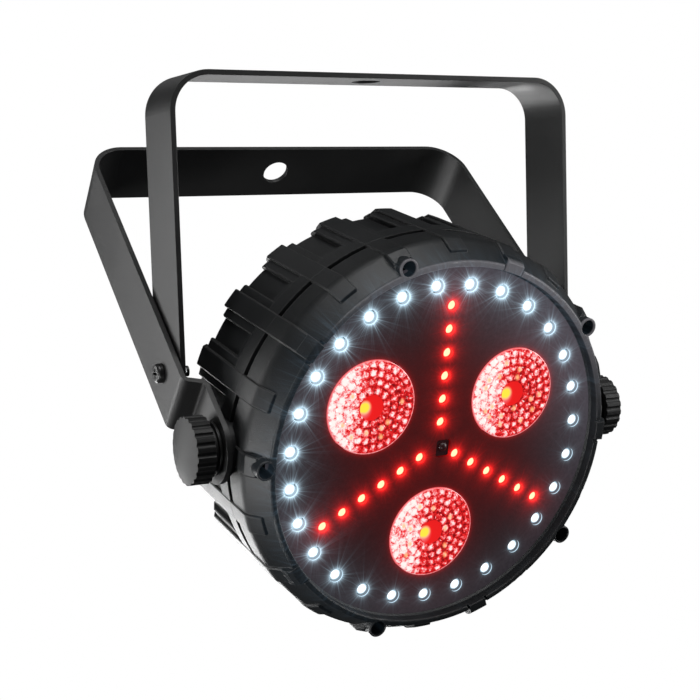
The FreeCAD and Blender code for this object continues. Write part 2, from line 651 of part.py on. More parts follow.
def rear_cover():
    inner = COVER_Z + COVER_WALL
    cover = turned([(0, COVER_Z), (64.0, COVER_Z, 1.5), (67.0, FLANGE_Z), (COVER_R, FLANGE_Z, 0.8),
                    (COVER_R, BACK_Z - 0.05), (73.6, BACK_Z - 0.05), (73.6, -82.8), (71.2, -82.8),
                    (71.2, BACK_Z), (65.0, BACK_Z), (63.0, inner), (0, inner)])
    x, y = DISPLAY_CENTRE
    cuts = [rounded_box(x, y, 32.4, 12.4, COVER_Z, inner, 1.0)]
    cuts.append(rounded_box(x, y, 38.4, 18.4, COVER_Z, COVER_Z + 1.2, 1.5))
    cuts += [rod(BUTTON_R + GAP, bx, BUTTON_Y, COVER_Z, inner) for bx in BUTTON_XS]
    cuts += [rod(DMX_BODY_R + GAP, dx, DMX_Y, COVER_Z, inner) for dx in DMX_XS]
    cuts += [rounded_box(px, POWER_Y, 27.6, 20.6, COVER_Z, inner, 3.0) for px in POWER_XS]
    cuts += [rounded_box(0, vy, 30.0, 2.4, COVER_Z, inner, 1.1) for vy in VENT_YS]
    cuts += [rod(SAFETY_WIRE_R + 0.2, side * SAFETY_HALF_GAP, SAFETY_Y, COVER_Z, inner) for side in (-1, 1)]
    cuts += [rod(1.6, sx, sy, FLANGE_Z, BACK_Z) for sx, sy in cover_screw_places()]
    return cover.cut(cuts)


def cover_screw_places():
    return [polar(COVER_SCREW_R, index * 360.0 / COVER_SCREWS) for index in range(COVER_SCREWS)]


def cross_head_screw(x, y, seat, tip, head_r, shank_r):
    """Pan head screw driven from behind."""
    head = rod(head_r, x, y, seat - 1.7, seat)
    head = head.makeFillet(0.8, [e for e in head.Edges if e.CenterOfMass.z < seat - 1.69])
    for width, height in ((head_r, 0.7), (0.7, head_r)):
        head = head.cut(centred_box(x, y, width, height, seat - 1.7, seat - 0.7))
    return head.fuse(rod(shank_r, x, y, seat, tip)).removeSplitter()


def cover_screws():
    return Part.makeCompound([cross_head_screw(x, y, FLANGE_Z, -82.2, 2.9, 1.4)
                              for x, y in cover_screw_places()])


def display_window():
    x, y = DISPLAY_CENTRE
    return rounded_box(x, y, 38.0, 18.0, COVER_Z - 0.1, COVER_Z + 1.1, 1.4)


def button(x):
    """Round cap with a flange that keeps it behind the cover."""
    cap = rod(BUTTON_R, x, BUTTON_Y, COVER_Z - 1.4, COVER_Z + COVER_WALL + GAP)
    cap = cap.makeFillet(0.6, [e for e in cap.Edges if e.CenterOfMass.z < COVER_Z - 1.39])
    flange = rod(5.2, x, BUTTON_Y, COVER_Z + COVER_WALL + GAP, COVER_Z + COVER_WALL + 1.3)
    stem = rod(2.0, x, BUTTON_Y, COVER_Z + COVER_WALL + 1.3, -84.9)
    return cap.fuse([flange, stem]).removeSplitter()


def dmx_shell(x):
    flange = rounded_box(x, DMX_Y, 26.0, 31.0, COVER_Z - 2.0, COVER_Z, 2.5)
    body = rod(DMX_BODY_R, x, DMX_Y, COVER_Z, -68.0)
    shell = flange.fuse(body)
    for sx, sy in ((-9.5, 12.0), (9.5, -12.0)):
        shell = shell.cut(rod(1.6, x + sx, DMX_Y + sy, COVER_Z - 2.0, COVER_Z))
    return shell


def dmx_pin_places(x):
    return [(x + dx, DMX_Y + dy) for dx, dy in (polar(4.9, angle) for angle in (30.0, 150.0, 270.0))]


def dmx_inlet():
    """Male socket: an open well round three pins."""
    return dmx_shell(DMX_XS[0]).cut(rod(9.3, DMX_XS[0], DMX_Y, COVER_Z - 2.0, -77.0))


def dmx_inlet_pins():
    return Part.makeCompound([rod(1.2, x, y, COVER_Z + 0.5, -77.0) for x, y in dmx_pin_places(DMX_XS[0])])


def dmx_outlet():
    """Female socket: a face with three contact holes in a shallow well."""
    x, face_z = DMX_XS[1], COVER_Z - 1.0
    shell = dmx_shell(x).cut(rod(9.3, x, DMX_Y, COVER_Z - 2.0, face_z))
    groove = rod(9.3, x, DMX_Y, face_z, -80.0).cut(rod(7.9, x, DMX_Y, face_z, -80.0))
    return shell.cut([groove] + [rod(1.35, px, py, face_z, -79.0) for px, py in dmx_pin_places(x)])


def power_shell(x):
    flange = rounded_box(x, POWER_Y, 31.0, 24.5, COVER_Z - 2.5, COVER_Z, 3.0)
    return flange.fuse(rounded_box(x, POWER_Y, 27.0, 20.0, COVER_Z, -68.0, 2.8))


def power_blade_places(x):
    """Earth above, live and neutral below."""
    return [(x, POWER_Y + 3.2), (x - 7.0, POWER_Y - 1.8), (x + 7.0, POWER_Y - 1.8)]


def power_inlet():
    well = rounded_box(POWER_XS[0], POWER_Y, 24.2, 16.4, COVER_Z - 2.5, -75.0, 2.5)
    return power_shell(POWER_XS[0]).cut(well)


def power_inlet_blades():
    return Part.makeCompound([centred_box(x, y, 2.0, 4.0, COVER_Z + 2.5, -75.0)
                              for x, y in power_blade_places(POWER_XS[0])])


def power_outlet():
    x = POWER_XS[1]
    groove = rounded_box(x, POWER_Y, 24.2, 16.4, COVER_Z - 2.5, -75.0, 2.5)
    groove = groove.cut(rounded_box(x, POWER_Y, 21.0, 13.2, COVER_Z - 2.5, -75.0, 1.8))
    slots = [centred_box(px, py, 2.4, 4.6, COVER_Z - 2.5, -78.0) for px, py in power_blade_places(x)]
    return power_shell(x).cut([groove] + slots)


def connector_screws():
    """Small screws that hold the two signal sockets."""
    return Part.makeCompound([cross_head_screw(x + sx, DMX_Y + sy, COVER_Z - 2.0, COVER_Z - 0.2, 2.4, 1.4)
                              for x in DMX_XS for sx, sy in ((-9.5, 12.0), (9.5, -12.0))])


def safety_loop():
    """Steel staple for a safety cable, held by two feet behind the cover."""
    bend_z = COVER_Z - 5.0
    half = SAFETY_HALF_GAP
    foot_z = COVER_Z + COVER_WALL
    start = Vector(-half, SAFETY_Y, foot_z + 1.5)
    end = Vector(half, SAFETY_Y, foot_z + 1.5)
    left, right = Vector(-half, SAFETY_Y, bend_z), Vector(half, SAFETY_Y, bend_z)
    arc = Part.Arc(left, Vector(0, SAFETY_Y, bend_z - half), right).toShape()
    path = Part.Wire([Part.makeLine(start, left), arc, Part.makeLine(right, end)])
    section = Part.Wire(Part.makeCircle(SAFETY_WIRE_R, start, Z_AXIS))
    wire = path.makePipeShell([section], True, False)
    feet = [rod(4.0, x, SAFETY_Y, foot_z, foot_z + 1.5) for x in (-half, half)]
    return wire.multiFuse(feet)


# ---- write every node ----------------------------------------------------------------------------

def main():
    os.makedirs("parts", exist_ok=True)
    bolt_place = Placement(BOLT_POINT, Rotation())
    tilt_place = Placement(TILT_POINT, Rotation())
    save("front_yoke", front_yoke())
    save("pivot_bolts", both_sides(pivot_bolt), bolt_place)
    save("pivot_nuts", both_sides(pivot_nut), bolt_place)
    save("pivot_washers", both_sides(pivot_washer), bolt_place)
    save("rear_yoke", rear_yoke(), REAR_PLACE)
    for side, hand in ((-1, "left"), (1, "right")):
        save("knob_grip_" + hand, knob_grip(side), tilt_place)
        save("knob_stud_" + hand, knob_stud(side), tilt_place)
        save("knob_washer_" + hand, knob_washer(side), tilt_place)
    for name, (x, y) in zip(LENS_NAMES, lens_places()):
        save("lens_" + name, lens(x, y), HEAD_PLACE)
        save("lens_holder_" + name, lens_holder(x, y), HEAD_PLACE)
        save("emitter_" + name, emitter(x, y), HEAD_PLACE)
    for name, x in zip(BUTTON_NAMES, BUTTON_XS):
        save("button_" + name, button(x), HEAD_PLACE)
    sink_back = SINK_TOP - SINK_PLATE
    board_back = CONTROL_BOARD_TOP - BOARD_THICKNESS
    head = {
        "front_housing": front_housing(),
        "rear_housing": rear_housing(),
        "housing_screws": housing_screws(),
        "pivot_bosses": both_sides(pivot_boss),
        "knob_inserts": both_sides(knob_insert),
        "friction_washers": both_sides(friction_washer),
        "front_panel": front_panel(),
        "white_leds": white_leds(),
        "row_leds": row_leds(),
        "led_board": led_board(),
        "ir_receiver": ir_receiver(),
        "heat_sink": heat_sink(),
        "led_board_columns": board_columns(),
        "power_board": power_board(),
        "transformer": transformer(),
        "capacitors": capacitors(),
        "fuse": fuse_clip(),
        "power_board_columns": columns(3.0, POWER_COLUMN_YS, POWER_BOARD_TOP, sink_back),
        "control_board": control_board(),
        "control_chips": control_chips(),
        "display": display(),
        "control_board_columns": columns(2.5, CONTROL_COLUMN_YS, COVER_Z + COVER_WALL, board_back),
        "button_switches": button_switches(),
        "rear_cover": rear_cover(),
        "cover_screws": cover_screws(),
        "display_window": display_window(),
        "dmx_inlet": dmx_inlet(),
        "dmx_inlet_pins": dmx_inlet_pins(),
        "dmx_outlet": dmx_outlet(),
        "power_inlet": power_inlet(),
        "power_inlet_blades": power_inlet_blades(),
        "power_outlet": power_outlet(),
        "connector_screws": connector_screws(),
        "safety_loop": safety_loop(),
    }
    for name, shape in head.items():
        save(name, shape, HEAD_PLACE)


main()
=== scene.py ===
import json
import math

import bpy
from mathutils import Matrix, Vector


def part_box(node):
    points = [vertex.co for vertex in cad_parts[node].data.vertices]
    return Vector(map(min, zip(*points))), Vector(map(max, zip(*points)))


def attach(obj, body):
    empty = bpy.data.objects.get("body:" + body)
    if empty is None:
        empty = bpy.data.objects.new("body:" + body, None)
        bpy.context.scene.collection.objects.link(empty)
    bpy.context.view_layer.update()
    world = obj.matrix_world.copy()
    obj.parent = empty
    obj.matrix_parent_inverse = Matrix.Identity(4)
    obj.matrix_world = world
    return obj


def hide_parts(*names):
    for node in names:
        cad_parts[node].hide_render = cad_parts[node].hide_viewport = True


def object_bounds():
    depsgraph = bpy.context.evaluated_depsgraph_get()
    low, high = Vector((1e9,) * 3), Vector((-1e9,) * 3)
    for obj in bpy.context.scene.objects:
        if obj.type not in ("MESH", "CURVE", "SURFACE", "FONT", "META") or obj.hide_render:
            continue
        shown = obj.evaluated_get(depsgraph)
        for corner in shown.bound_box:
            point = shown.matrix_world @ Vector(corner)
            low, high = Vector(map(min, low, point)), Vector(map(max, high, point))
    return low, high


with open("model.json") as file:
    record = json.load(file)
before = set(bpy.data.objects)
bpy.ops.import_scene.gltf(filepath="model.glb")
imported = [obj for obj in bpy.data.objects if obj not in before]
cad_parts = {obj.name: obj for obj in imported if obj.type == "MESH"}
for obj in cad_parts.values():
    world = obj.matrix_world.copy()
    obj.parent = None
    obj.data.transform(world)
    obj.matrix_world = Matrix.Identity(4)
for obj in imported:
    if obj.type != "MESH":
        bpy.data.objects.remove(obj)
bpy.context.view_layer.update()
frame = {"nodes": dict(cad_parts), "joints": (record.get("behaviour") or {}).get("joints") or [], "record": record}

NODES = frame["nodes"]
JOINTS = {joint["name"]: joint for joint in frame["joints"]}
MM = 0.001

# ---- the head's own frame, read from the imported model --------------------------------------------

RIGHT = Vector((1, 0, 0))
OUTWARD = Vector(JOINTS["press_menu"]["axis"]).normalized()
UPWARD = OUTWARD.cross(RIGHT)
TILT_POINT = Vector(JOINTS["head_tilt"]["pos_m"])
PANEL_LOW, PANEL_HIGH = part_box("front_panel")
PANEL_BACK_Z, PANEL_FRONT_Z = -1.1, 1.4                   # the LED windows' plane is z = 0
PANEL_MIDDLE_Z = (PANEL_BACK_Z + PANEL_FRONT_Z) / 2
FACE_CENTRE = (PANEL_LOW + PANEL_HIGH) / 2 - OUTWARD * (PANEL_MIDDLE_Z * MM)
HEAD_TURN = math.atan2(UPWARD.z, UPWARD.y)

# sizes that repeat the part's own, in millimetres
WHITE_RING_R = 75.0
WHITE_COUNT = 27
WHITE_WINDOW_R = 2.85
WHITE_HOLE_R = 3.3
ROW_START_R = 10.8
ROW_PITCH = 10.93
ROW_LAST = 5
LENS_NAMES = ("right", "left", "lower")
LENS_ANGLES = (30, 150, 270)
LENS_R = 21.65
LENS_CENTRE_R = 42.9
LENS_FRONT_Z = 2.0
LENS_CROWN = 0.6


def head_point(x, y, z):
    """A point given in the head's frame, in millimetres."""
    return FACE_CENTRE + (RIGHT * x + UPWARD * y + OUTWARD * z) * MM


# ---- camera, lights and floor --------------------------------------------------------------------

CAMERA_OFFSET = Vector((-0.32702, -0.55494, 0.09923))     # from the tilt axis
CAMERA_AZIMUTH = 28.07
CAMERA_DROP = 5.55
CAMERA_ROLL = -1.64
CAMERA_LENS = 71.17
SENSOR_WIDTH = 36.0
NEAR_CLIP = 0.01
FLOOR_DROP = 0.30
FLOOR_HALF = 12
ROOM_LIGHT = 0.05                                         # dim studio that the lamp itself reflects
ROOM_COLOUR = (0.92, 0.96, 1.0, 1)
WHITE = (1, 1, 1, 1)
SOFT_BOXES = (                                            # name, metres from the tilt axis, size, watts
    ("side_box", (-0.42, 0.38, 0.0), (0.2, 0.4), 1.2),
    ("top_box", (-0.1, -0.5, 1.5), (1.2, 0.7), 19),
    ("left_box", (-0.78, -0.03, -0.25), (0.22, 0.32), 5.0),
    ("low_back_box", (0.1, 1.1, -0.50), (1.3, 0.3), 9),
    ("high_back_box", (0.0, 1.1, 0.80), (0.5, 0.35), 0.25),
    ("low_left_box", (-0.6, -1.0, -0.85), (0.5, 0.5), 7),
    ("right_box", (1.2, -0.5, 0.3), (0.4, 0.9), 12),
)


def make_camera():
    azimuth, drop, roll = (math.radians(angle) for angle in (CAMERA_AZIMUTH, CAMERA_DROP, CAMERA_ROLL))
    level_step = math.cos(drop)
    forward = Vector((math.sin(azimuth) * level_step, math.cos(azimuth) * level_step, -math.sin(drop)))
    level = Vector((math.cos(azimuth), -math.sin(azimuth), 0))
    right = level * math.cos(roll) + level.cross(forward) * math.sin(roll)
    above = right.cross(forward)
    data = bpy.data.cameras.new("view_camera")
    data.lens = CAMERA_LENS
    data.sensor_width = SENSOR_WIDTH
    data.clip_start = NEAR_CLIP
    camera = bpy.data.objects.new("view_camera", data)
    bpy.context.scene.collection.objects.link(camera)
    turn = Matrix((right, above, -forward)).transposed().to_4x4()
    camera.matrix_world = Matrix.Translation(TILT_POINT + CAMERA_OFFSET) @ turn
    bpy.context.scene.camera = camera


def soft_box(name, place, size, watts):
    """A rectangular light that faces the lamp."""
    data = bpy.data.lights.new(name, "AREA")
    data.shape = "RECTANGLE"
    data.size, data.size_y = size
    data.energy = watts
    lamp = bpy.data.objects.new(name, data)
    bpy.context.scene.collection.objects.link(lamp)
    lamp.location = TILT_POINT + Vector(place)
    lamp.rotation_euler = (-Vector(place)).to_track_quat("-Z", "Y").to_euler()


def make_studio():
    """White surroundings for the eye, and a dimmer studio with soft boxes for the light."""
    world = bpy.data.worlds.new("studio")
    bpy.context.scene.world = world
    world.use_nodes = True
    tree = world.node_tree
    tree.nodes.clear()
    seen = tree.nodes.new("ShaderNodeBackground")
    seen.inputs["Color"].default_value = WHITE
    lit = tree.nodes.new("ShaderNodeBackground")
    lit.inputs["Color"].default_value = ROOM_COLOUR
    lit.inputs["Strength"].default_value = ROOM_LIGHT
    path = tree.nodes.new("ShaderNodeLightPath")
    blend = tree.nodes.new("ShaderNodeMixShader")
    out = tree.nodes.new("ShaderNodeOutputWorld")
    tree.links.new(path.outputs["Is Camera Ray"], blend.inputs[0])
    tree.links.new(lit.outputs[0], blend.inputs[1])
    tree.links.new(seen.outputs[0], blend.inputs[2])
    tree.links.new(blend.outputs[0], out.inputs["Surface"])
    for box in SOFT_BOXES:
        soft_box(*box)


def make_floor():
    """White paper sweep, evenly lit so that it has no visible end."""
    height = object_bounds()[0].z - FLOOR_DROP
    corners = [(x * FLOOR_HALF, y * FLOOR_HALF, height) for x, y in ((-1, -1), (1, -1), (1, 1), (-1, 1))]
    mesh = bpy.data.meshes.new("floor")
    mesh.from_pydata(corners, [], [(0, 1, 2, 3)])
    floor = bpy.data.objects.new("floor", mesh)
    bpy.context.scene.collection.objects.link(floor)
    material, graph = new_material("floor_paper")
    graph.shader("Emission", Color=WHITE, Strength=1.0)
    floor.data.materials.append(material)
    floor.visible_glossy = False
    floor.visible_diffuse = False


# ---- writing shaders as formulas -----------------------------------------------------------------

# edges are painted lighter between these cosines: partly wear, partly painted highlight
WEAR_AND_HIGHLIGHT_START, WEAR_AND_HIGHLIGHT_FULL = 0.995, 0.90       # cosine between the rounded normal and the flat one


class Field:
    """A number that varies over the surface; arithmetic on it adds math nodes."""

    def __init__(self, graph, socket):
        self.graph = graph
        self.socket = socket

    def math(self, operation, *others):
        node = self.graph.tree.nodes.new("ShaderNodeMath")
        node.operation = operation
        for slot, value in zip(node.inputs, (self,) + others):
            self.graph.feed(slot, value)
        return Field(self.graph, node.outputs[0])

    def __add__(self, other):
        return self.math("ADD", other)

    def __sub__(self, other):
        return self.math("SUBTRACT", other)

    def __mul__(self, other):
        return self.math("MULTIPLY", other)

    def __truediv__(self, other):
        return self.math("DIVIDE", other)

    def clamped(self):
        return self.math("MAXIMUM", 0.0).math("MINIMUM", 1.0)

    def fade(self, start, end):
        """Smooth step from 0 at start to 1 at end."""
        node = self.graph.tree.nodes.new("ShaderNodeMapRange")
        node.interpolation_type = "SMOOTHSTEP"
        self.graph.feed(node.inputs["Value"], self)
        low, high, first, last = (start, end, 0.0, 1.0) if start < end else (end, start, 1.0, 0.0)
        for name, value in (("From Min", low), ("From Max", high), ("To Min", first), ("To Max", last)):
            node.inputs[name].default_value = value
        return Field(self.graph, node.outputs["Result"])

    def decay(self, length):
        """exp(-value / length)"""
        return (self * (-1.0 / length)).math("EXPONENT")


class Graph:
    """One material's node tree."""

    def __init__(self, material):
        self.tree = material.node_tree
        self.tree.nodes.clear()
        self.out = self.tree.nodes.new("ShaderNodeOutputMaterial")

    def feed(self, slot, value):
        if isinstance(value, Field):
            self.tree.links.new(value.socket, slot)
        else:
            slot.default_value = value

    def node(self, kind, **inputs):
        node = self.tree.nodes.new("ShaderNode" + kind)
        for name, value in inputs.items():
            self.feed(node.inputs[name.replace("_", " ")], value)
        return node

    def shader(self, kind, **inputs):
        node = self.node(kind, **inputs)
        self.tree.links.new(node.outputs[0], self.out.inputs["Surface"])
        return node

    def place(self):
        """Position in the row's frame, in metres; it moves with the piece."""
        return Field(self, self.node("TexCoord").outputs["Object"])

    def head_place(self):
        """x, y, z in the head's frame, in millimetres."""
        turned = self.tree.nodes.new("ShaderNodeMapping")
        turned.vector_type = "TEXTURE"
        turned.inputs["Location"].default_value = FACE_CENTRE
        turned.inputs["Rotation"].default_value = (HEAD_TURN, 0, 0)
        turned.inputs["Scale"].default_value = (MM, MM, MM)
        self.feed(turned.inputs["Vector"], self.place())
        parts = self.node("SeparateXYZ", Vector=Field(self, turned.outputs[0]))
        return [Field(self, parts.outputs[axis]) for axis in "XYZ"]

    def vector(self, x, y, z):
        return Field(self, self.node("CombineXYZ", X=x, Y=y, Z=z).outputs[0])

    def noise(self, where, scale, detail=2.0, roughness=0.5):
        node = self.node("TexNoise", Vector=where, Scale=scale, Detail=detail, Roughness=roughness)
        return Field(self, node.outputs["Fac"])

    def blend(self, factor, first, second):
        """Colour between two colours or colour fields."""
        node = self.tree.nodes.new("ShaderNodeMix")
        node.data_type = "RGBA"
        colours = [slot for slot in node.inputs if slot.type == "RGBA"]
        self.feed(node.inputs[0], factor)
        for slot, colour in zip(colours, (first, second)):
            self.feed(slot, colour)
        return Field(self, [slot for slot in node.outputs if slot.type == "RGBA"][0])

    def scaled(self, colour, factor):
        """A fixed colour times a number field."""
        node = self.tree.nodes.new("ShaderNodeVectorMath")
        node.operation = "SCALE"
        self.feed(node.inputs[0], colour if isinstance(colour, Field) else colour[:3])
        self.feed(node.inputs["Scale"], factor)
        return Field(self, node.outputs[0])

    def added(self, *colours):
        total = colours[0]
        for colour in colours[1:]:
            node = self.tree.nodes.new("ShaderNodeVectorMath")
            node.operation = "ADD"
            self.feed(node.inputs[0], total)
            self.feed(node.inputs[1], colour)
            total = Field(self, node.outputs[0])
        return total

    def edge_wear_and_highlight(self, width):
        """1 on outer edges, which are painted lighter as wear and as painted highlight, and 0 on flat faces, from
        how far the rounded normal leans.
        """
        rounded = Field(self, self.node("Bevel", Radius=width).outputs[0])
        flat = Field(self, self.node("NewGeometry").outputs["Normal"])
        node = self.tree.nodes.new("ShaderNodeVectorMath")
        node.operation = "DOT_PRODUCT"
        self.feed(node.inputs[0], rounded)
        self.feed(node.inputs[1], flat)
        return Field(self, node.outputs["Value"]).fade(WEAR_AND_HIGHLIGHT_START, WEAR_AND_HIGHLIGHT_FULL)

    def bump(self, height, depth, edge=0.0):
        """Surface normal bumped by a height field; edge rounds the corners by that many metres."""
        node = self.node("Bump", Height=height, Distance=depth, Strength=1.0)
        if edge:
            self.tree.links.new(self.node("Bevel", Radius=edge).outputs[0], node.inputs["Normal"])
        return Field(self, node.outputs[0])


def new_material(name):
    material = bpy.data.materials.new(name)
    material.use_nodes = True
    return material, Graph(material)


def grey(value, warmth=0.0):
    return (value * (1 + warmth), value, value * (1 - warmth), 1.0)


# ---- materials -----------------------------------------------------------------------------------

# colours of light
BEZEL_SPILL = (0.48, 0.74, 1.0)
UPPER_LIP_LIGHT = (0.98, 0.92, 1.0)
PANEL_SPILL = (0.60, 0.84, 1.0)
PANEL_HAZE_AND_REFLECTION = (0.88, 0.82, 1.0)
RED_SPILL = (1.0, 0.010, 0.010)
WINDOW_RIM, WINDOW_CORE = (0.42, 0.70, 0.92, 1), (0.95, 0.98, 1.0, 1)
ROW_RIM, ROW_CORE = (1.0, 0.10, 0.03, 1), (1.0, 0.90, 0.50, 1)

# where the LEDs shine, in millimetres: heights at which the light begins, and radii of the pale core
WHITE_LIT_Z, WHITE_CORE_R = (-0.60, -0.40), (2.75, 1.75)
ROW_LIT_Z, ROW_CORE_R = (-1.38, -1.30), (2.6, 1.6)

# reach of the light round the white LEDs, the colour LEDs and the lenses, in millimetres
HALO_REACH, RAY_REACH, LONG_RAY_REACH = 0.7, 1.7, 6.0
ROW_HALO_REACH, ROW_RAY_REACH, ROW_LONG_REACH = 1.0, 2.6, 7.0
LENS_HALO_REACH, LENS_LONG_REACH = 0.8, 10.0
# painted light on the panel: a haze of the LEDs' light along the ring, and a painted reflection at the upper right
HAZE_REACH, HAZE_RING_R = 16.0, 78.0
RING_HAZE, UPPER_RIGHT_REFLECTION = 0.028, 0.045
ROW_GLARE_R = 1.9
LEAST_DISTANCE = 0.01                     # keeps the rays' directions from dividing by zero

# how the bezel takes the ring's spill, and its upper lip the light: heights between which each grows,
# how far up the lip it starts and ends, and strengths
BEZEL_GLARE_Z, BEZEL_GLARE = (-9.0, 4.0), 1.5
LIP_GLARE_Z, LIP_GLARE_UP, LIP_GLARE = (5.8, 7.3), (25.0, 80.0), 0.09


def coated_steel(name, base, rough):
    """Black powder coat: fine orange peel with a slight change of gloss and colour, and edges painted lighter,
    partly rubbed wear and partly painted highlight.
    """
    material, graph = new_material(name)
    where = graph.place()
    cloud = graph.noise(where, 35.0, 3.0)
    peel = graph.noise(where, 1500.0, 2.0) * 0.7 + graph.noise(where, 4200.0, 1.0) * 0.3
    coat = graph.blend(cloud.fade(0.3, 0.7), grey(base), grey(base * 1.5))
    # the edges are painted four times lighter: partly rubbed wear, partly painted highlight
    shader = graph.shader("BsdfPrincipled",
                          Base_Color=graph.blend(graph.edge_wear_and_highlight(0.0003), coat, grey(base * 4.0)),
                          Roughness=cloud * 0.12 + (rough - 0.06), Normal=graph.bump(peel, 0.00010, 0.0004))
    shader.inputs["Specular IOR Level"].default_value = 0.5
    return material


def moulded_plastic(name, base, rough, grain=2600.0, depth=0.00010, tint=0.0, edge=0.0005, glare=False):
    """Spark-textured moulded plastic whose corners are painted lighter, partly polished-down wear and partly
    painted highlight.

    glare adds the LED ring's spill and the light that the upper lip catches.
    """
    material, graph = new_material(name)
    where = graph.place()
    cloud = graph.noise(where, 28.0, 3.0)
    texture = graph.noise(where, grain, 2.0, 0.6) * 0.6 + graph.noise(where, grain * 2.6, 1.0) * 0.4
    body = graph.blend(cloud.fade(0.3, 0.7), grey(base, -tint), grey(base * 1.5, -tint))
    # the corners are painted six times lighter: partly polished-down wear, partly painted highlight
    shader = graph.shader("BsdfPrincipled",
                          Base_Color=graph.blend(graph.edge_wear_and_highlight(edge * 1.4), body, grey(base * 6.0)),
                          Roughness=cloud * 0.14 + (rough - 0.07), Normal=graph.bump(texture, depth, edge))
    shader.inputs["Specular IOR Level"].default_value = 0.35
    if glare:
        x, y, z = graph.head_place()
        spill = ring_glare(graph, x, y) * z.fade(*BEZEL_GLARE_Z) * BEZEL_GLARE
        upper_lip = z.fade(*LIP_GLARE_Z) * (x * 0.3 + y * 0.95).fade(*LIP_GLARE_UP) * LIP_GLARE
        light = graph.added(graph.scaled(BEZEL_SPILL, spill), graph.scaled(UPPER_LIP_LIGHT, upper_lip))
        graph.feed(shader.inputs["Emission Color"], light)
        shader.inputs["Emission Strength"].default_value = 1.0
    return material


def bare_metal(name, colour, rough, streak=900.0):
    """Turned, plated or rolled metal with fine streaks."""
    material, graph = new_material(name)
    where = graph.place()
    streaks = graph.noise(where, streak, 4.0, 0.7)
    stain = graph.noise(where, 60.0, 3.0)
    darker = tuple(channel * 0.78 for channel in colour) + (1.0,)
    shader = graph.shader("BsdfPrincipled",
                          Base_Color=graph.blend(stain.fade(0.35, 0.75), colour + (1.0,), darker),
                          Roughness=(streaks * 0.22 + (rough - 0.11)),
                          Normal=graph.bump(streaks, 0.00002, 0.0002))
    shader.inputs["Metallic"].default_value = 1.0
    return material


def clear_part(name, colour, rough, coat=0.5, glow=None):
    """Tinted acrylic with a polished skin; glow is light it picks up from the LEDs beside it."""
    material, graph = new_material(name)
    where = graph.place()
    haze = graph.noise(where, 120.0, 2.0)
    darker = tuple(channel * 0.8 for channel in colour) + (1.0,)
    shader = graph.shader("BsdfPrincipled",
                          Base_Color=graph.blend(haze, colour + (1.0,), darker),
                          Roughness=(haze * 0.06 + rough),
                          Normal=graph.bump(haze, 0.00001))
    shader.inputs["Coat Weight"].default_value = coat
    shader.inputs["Coat Roughness"].default_value = 0.05
    if glow:
        shader.inputs["Emission Color"].default_value = glow + (1.0,)
        shader.inputs["Emission Strength"].default_value = 1.0
    return material


def circuit_board(name, colour):
    """Solder mask over a pattern of tracks."""
    material, graph = new_material(name)
    where = graph.place()
    tracks = graph.node("TexBrick", Vector=where, Scale=260.0)
    lines = Field(graph, tracks.outputs["Fac"])
    lighter = tuple(min(1.0, channel * 1.7) for channel in colour) + (1.0,)
    graph.shader("BsdfPrincipled", Base_Color=graph.blend(lines, colour + (1.0,), lighter),
                 Roughness=0.32, Normal=graph.bump(lines, 0.00003))
    return material


def white_window():
    """White LED: moulded package, and a domed window that shines cold white."""
    material, graph = new_material("white_led_window")
    x, y, z = graph.head_place()
    lit = z.fade(*WHITE_LIT_Z)
    speck = graph.noise(graph.place(), 3000.0)
    distance = next(ring_cells(x, y, (0,)))[2]
    core = distance.fade(*WHITE_CORE_R)
    graph.shader("BsdfPrincipled", Base_Color=graph.blend(speck, (0.8, 0.8, 0.76, 1), (0.9, 0.9, 0.86, 1)),
                 Roughness=0.35, Emission_Color=graph.blend(core, WINDOW_RIM, WINDOW_CORE),
                 Emission_Strength=lit * (core * 1.1 + 0.35))
    return material


def row_window():
    """Colour LED showing red: a hot pale core with an orange rim."""
    material, graph = new_material("row_led_window")
    x, y, z = graph.head_place()
    lit = z.fade(*ROW_LIT_Z)
    along, across = row_cell(x, y)
    distance = (along * along + across * across).math("SQRT")
    core = distance.fade(*ROW_CORE_R)
    colour = graph.blend(core, ROW_RIM, ROW_CORE)
    graph.shader("BsdfPrincipled", Base_Color=(0.85, 0.8, 0.76, 1), Roughness=0.35,
                 Emission_Color=colour, Emission_Strength=lit * (core * 0.2 + 0.9))
    return material


def row_cell(x, y):
    """Offsets along and across the row from the nearest colour LED, in millimetres."""
    radius = (x * x + y * y).math("SQRT")
    third = 2 * math.pi / 3
    angle = y.math("ARCTAN2", x) - math.pi / 2
    angle = angle - (angle / third).math("ROUND") * third
    along = radius * angle.math("COSINE")
    across = radius * angle.math("SINE")
    index = ((along - ROW_START_R) / ROW_PITCH).math("ROUND")
    index = index.math("MAXIMUM", 0.0).math("MINIMUM", float(ROW_LAST))
    return along - index * ROW_PITCH - ROW_START_R, across


def star_rays(graph, dx, dy, distance, seed, spread):
    """Fine rays round a point: noise sampled on a circle, sharpened."""
    circle = graph.vector(dx / distance * spread, dy / distance * spread, seed)
    return graph.noise(circle, 1.0, 4.0, 0.9).fade(0.46, 0.80)


def ring_cells(x, y, offsets=(-1, 0, 1)):
    """The white LEDs nearest a point: offset to each, its distance and its number."""
    step = 2 * math.pi / WHITE_COUNT
    angle = y.math("ARCTAN2", x) - (math.pi / 2 + step / 2)
    nearest = (angle / step).math("ROUND")
    for offset in offsets:
        index = nearest + offset
        middle = index * step + (math.pi / 2 + step / 2)
        dx = x - middle.math("COSINE") * WHITE_RING_R
        dy = y - middle.math("SINE") * WHITE_RING_R
        yield dx, dy, (dx * dx + dy * dy).math("SQRT").math("MAXIMUM", LEAST_DISTANCE), index


def upper_left_weight(x, y):
    """0 at the lower right and 1 at the upper left, where the white LEDs glare most."""
    return (x * -0.66 + y * 0.75).fade(-75.0, 55.0)


